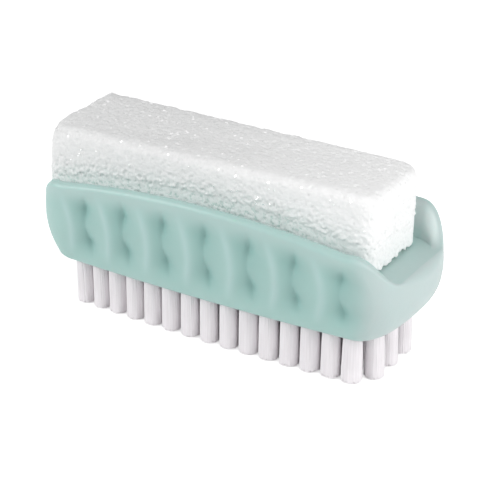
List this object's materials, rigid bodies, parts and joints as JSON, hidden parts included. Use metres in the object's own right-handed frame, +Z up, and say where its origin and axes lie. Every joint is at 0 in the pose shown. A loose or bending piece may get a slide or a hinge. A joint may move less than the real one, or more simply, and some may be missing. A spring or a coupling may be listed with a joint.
{
  "type": "nail brush with pumice block",
  "caption": "Hand-sized nail brush: plastic handle with wavy grip sides, bristle tufts below, and a pumice block in an open-ended tray on top.",
  "frame": {"origin": "centre of the bristle tips on the ground plane", "axes": "+X along the length toward the worn end of the block, +Y across the width, +Z up from the bristle tips to the pumice"},
  "size_m": [0.0882, 0.0366, 0.0415],
  "materials": {
    "handle_plastic": "satin moulded, slightly translucent",
    "pumice": "rough, porous and crystalline",
    "adhesive": "cured",
    "bristle": "fine filaments, satin",
    "anchor_wire": "drawn wire"
  },
  "bodies": {
    "root": {"handle_body": "handle_plastic", "pumice_block": "pumice", "adhesive_bed": "adhesive", "bristle_row_1": "bristle", "bristle_row_2": "bristle", "bristle_row_3": "bristle", "bristle_row_4": "bristle", "bristle_row_5": "bristle", "anchor_row_1": "anchor_wire", "anchor_row_2": "anchor_wire", "anchor_row_3": "anchor_wire", "anchor_row_4": "anchor_wire", "anchor_row_5": "anchor_wire"}
  },
  "joints": []
}
